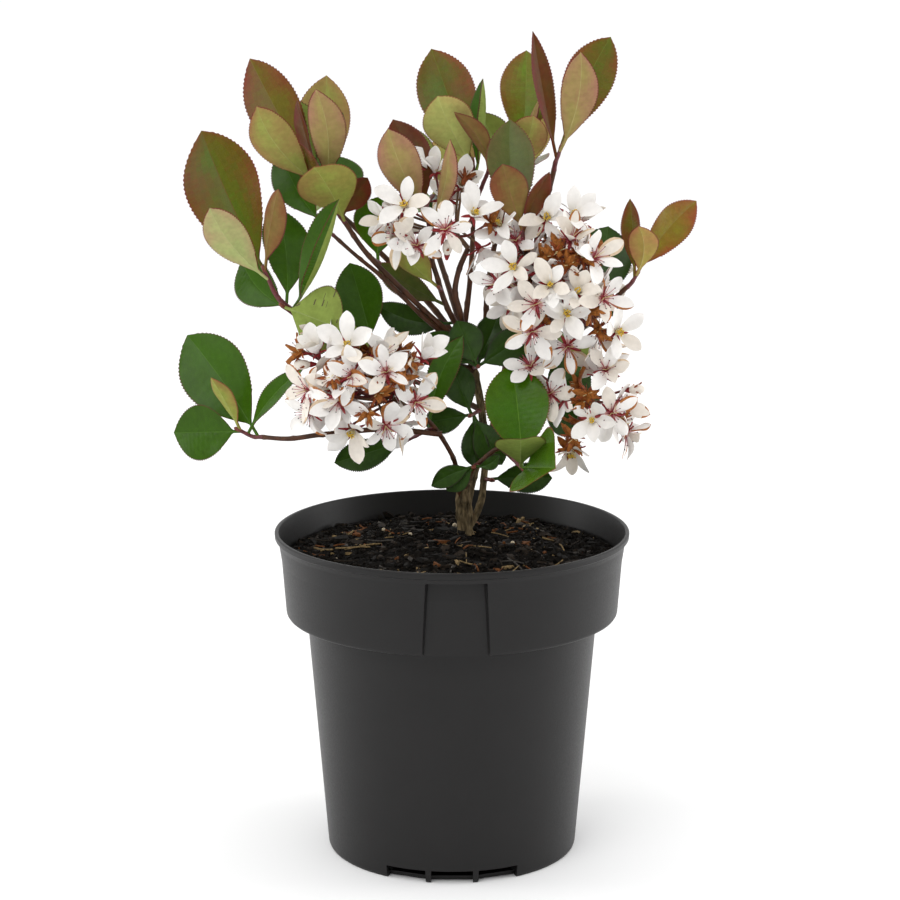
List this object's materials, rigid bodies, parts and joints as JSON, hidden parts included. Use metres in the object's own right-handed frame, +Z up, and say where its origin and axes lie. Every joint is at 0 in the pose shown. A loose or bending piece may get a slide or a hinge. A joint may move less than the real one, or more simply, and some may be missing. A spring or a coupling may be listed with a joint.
{
  "type": "potted flowering shrub",
  "caption": "Young indian hawthorn shrub with white flower heads, bronze and green leaves, in a round tapered nursery pot with a deep rim band.",
  "frame": {"origin": "middle of the pot's flat underside", "axes": "+Z up along the pot's axis, -Y the front with the band's recess, +X to the right seen from the front"},
  "size_m": [0.2634, 0.2013, 0.4145],
  "materials": {
    "pot": "satin moulded plastic",
    "soil": "loose bark potting mix",
    "bark": "rough bark",
    "twig": "smooth young bark",
    "young_leaf": "glossy leaf",
    "old_leaf": "glossy leaf",
    "blossom": "soft petal"
  },
  "bodies": {
    "root": {"pot": "pot", "soil": "soil", "trunk": "bark", "stem_right": "bark", "bough_low_middle": "twig", "bough_front": "twig", "bough_far_left": "twig", "bough_left": "twig", "bough_left_twin": "twig", "bough_low_left": "twig", "bough_middle": "twig", "bough_middle_blossom": "twig", "bough_top": "twig", "bough_top_right": "twig", "bough_right_inner": "twig", "bough_right": "twig", "bough_far_right": "twig", "bough_low_right": "twig", "bough_back_left": "twig", "bough_back_middle": "twig", "bough_back_right": "twig", "bough_back_low_left": "twig", "bough_back_low_right": "twig", "bough_back_blossom": "twig", "leaves_far_left": "young_leaf", "leaves_left": "young_leaf", "leaves_left_lower": "young_leaf", "leaves_low_left": "young_leaf", "leaves_middle": "young_leaf", "leaves_top": "young_leaf", "leaves_top_right": "young_leaf", "leaves_right_inner": "young_leaf", "leaves_right": "young_leaf", "leaves_far_right": "young_leaf", "leaves_front": "young_leaf", "leaf_left_front": "old_leaf", "leaf_top_side": "old_leaf", "leaf_middle_low": "old_leaf", "leaves_middle_left": "old_leaf", "leaf_left_behind": "old_leaf", "leaf_behind_left": "old_leaf", "leaves_heart_upper": "old_leaf", "leaves_heart_left": "old_leaf", "leaves_under": "old_leaf", "leaves_low_front": "old_leaf", "leaves_right_back": "old_leaf", "leaves_right_low": "old_leaf", "leaf_foot_right": "old_leaf", "blossom_left": "blossom", "blossom_middle": "blossom", "blossom_right": "blossom", "blossom_low_right": "blossom", "blossom_back": "blossom", "leaves_back_left": "old_leaf", "leaves_back_middle": "old_leaf", "leaves_back_right": "old_leaf", "leaves_back_low_left": "old_leaf", "leaves_back_low_right": "old_leaf"}
  },
  "joints": []
}
